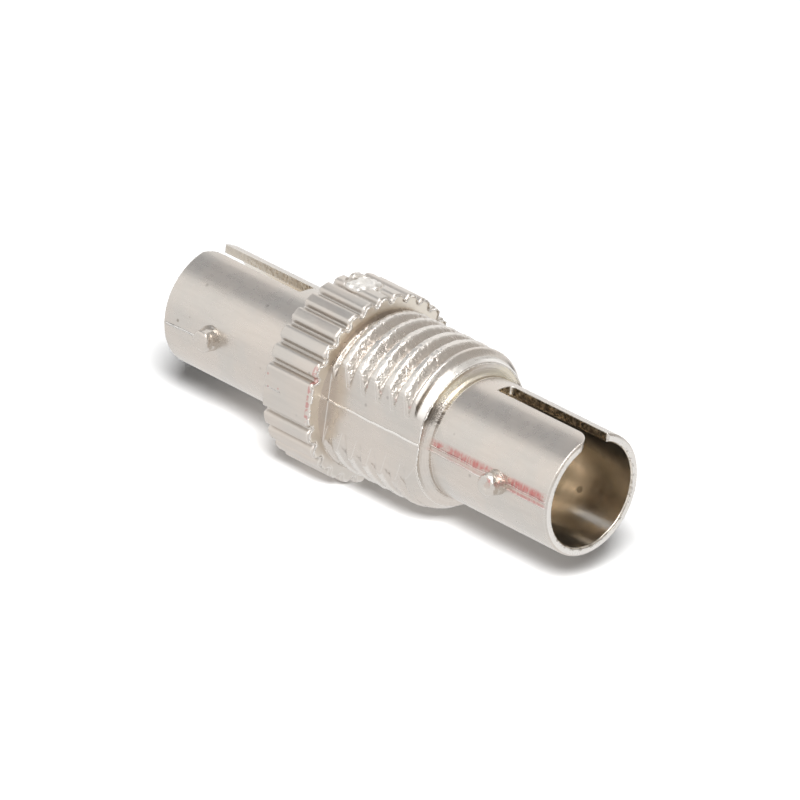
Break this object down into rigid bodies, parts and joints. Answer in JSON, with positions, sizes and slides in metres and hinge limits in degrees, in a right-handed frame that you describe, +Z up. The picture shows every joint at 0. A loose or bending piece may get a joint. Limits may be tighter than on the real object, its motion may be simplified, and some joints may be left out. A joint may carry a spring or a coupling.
{
  "type": "fibre adapter",
  "caption": "Metal bulkhead adapter that joins two bayonet fibre plugs end to end, with slotted barrels, bayonet lugs, a knurled flange and a flatted panel thread",
  "frame": {"origin": "on the barrels' axis at the optical plane, midway between the two mouths", "axes": "+X along the axis towards the mouth on the threaded side; +Z up through the key slots; +Y across, through the bayonet lugs"},
  "size_m": [0.0302, 0.0108, 0.011],
  "materials": {
    "nickel_casting": "satin nickel plate over die-cast zinc, warm light grey, with faint casting texture",
    "sleeve_bronze": "plain phosphor bronze",
    "retainer_brass": "nickel-plated turned brass"
  },
  "bodies": {
    "root": {"adapter_body": "nickel_casting", "split_sleeve": "sleeve_bronze", "sleeve_retainer": "retainer_brass"}
  },
  "joints": []
}
